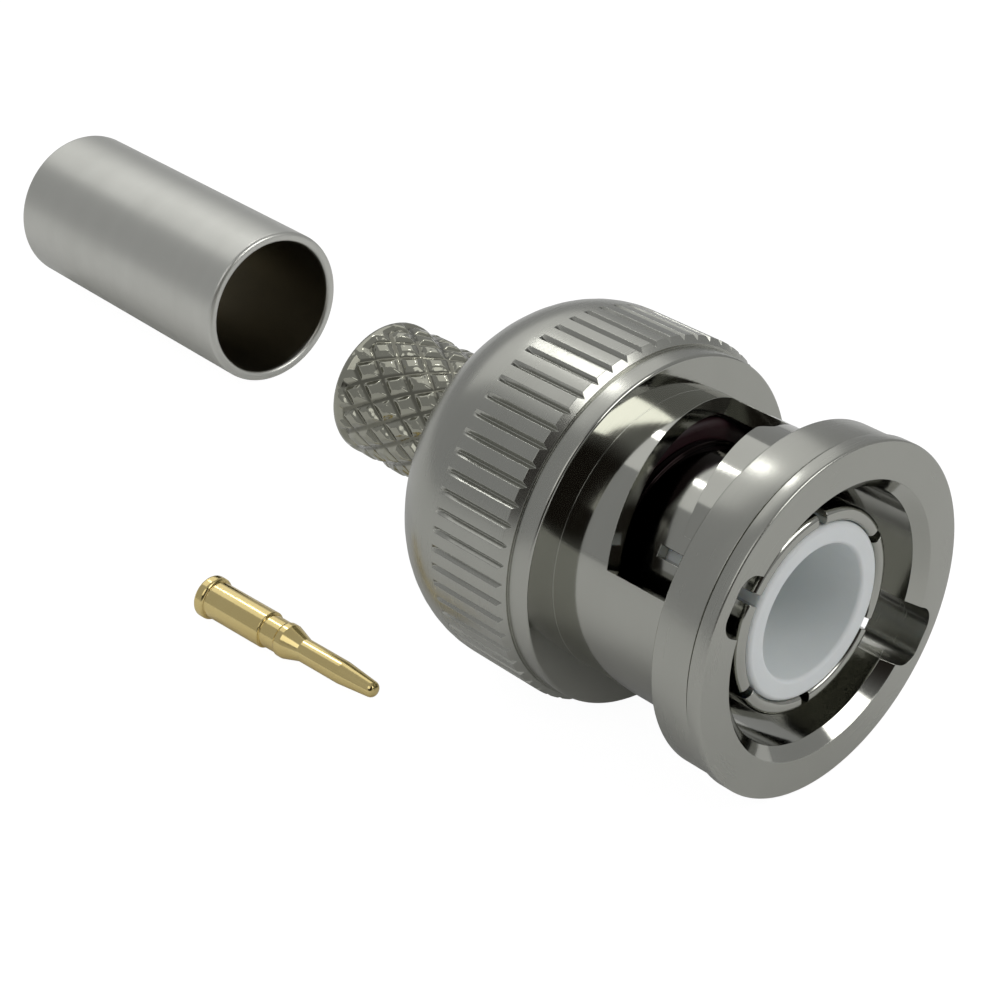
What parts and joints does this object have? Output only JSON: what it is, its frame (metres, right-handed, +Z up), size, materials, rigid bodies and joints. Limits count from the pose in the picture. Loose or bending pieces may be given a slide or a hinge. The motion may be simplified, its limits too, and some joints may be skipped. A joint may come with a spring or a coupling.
{
  "type": "bnc connector",
  "caption": "Crimp plug of a coaxial bayonet connector: knurled twist-lock nut, slit outer contact, white insulator, with its loose crimp ferrule and centre contact.",
  "frame": {"origin": "on the plug's axis, in the plane of the outer contact's front rim", "axes": "+X along the plug's axis, out of its mating end; +Z up from the surface that the kit lies on"},
  "size_m": [0.0543, 0.0195, 0.0146],
  "materials": {
    "nickel_bright": "bright nickel plate over brass",
    "nickel_satin": "satin nickel plate",
    "nickel_knurl": "nickel plate over a knurl",
    "gold_plate": "gold plate over brass",
    "white_plastic": "smooth white fluoropolymer",
    "gasket_rubber": "dark silicone rubber",
    "spring_steel": "rolled spring strip"
  },
  "bodies": {
    "plug": {"connector_body": "nickel_knurl", "outer_contact": "nickel_bright", "insulator": "white_plastic", "gasket": "gasket_rubber", "wave_spring": "spring_steel", "crimp_ferrule": "nickel_satin", "contact_pin": "gold_plate"},
    "washer": {"thrust_washer": "nickel_satin"},
    "nut": {"coupling_nut": "nickel_bright", "snap_ring": "spring_steel"}
  },
  "joints": [
    {"name": "nut_draw", "type": "slide", "parent": "plug", "child": "washer", "axis": [1, 0, 0], "range_m": [0, 0.0009], "stiffness_N_per_m": 3000, "springref_m": -0.0002, "deforming": ["wave_spring"]},
    {"name": "nut_turn", "type": "hinge", "parent": "washer", "child": "nut", "pos_m": [0, 0, 0], "axis": [1, 0, 0], "continuous": true}
  ]
}
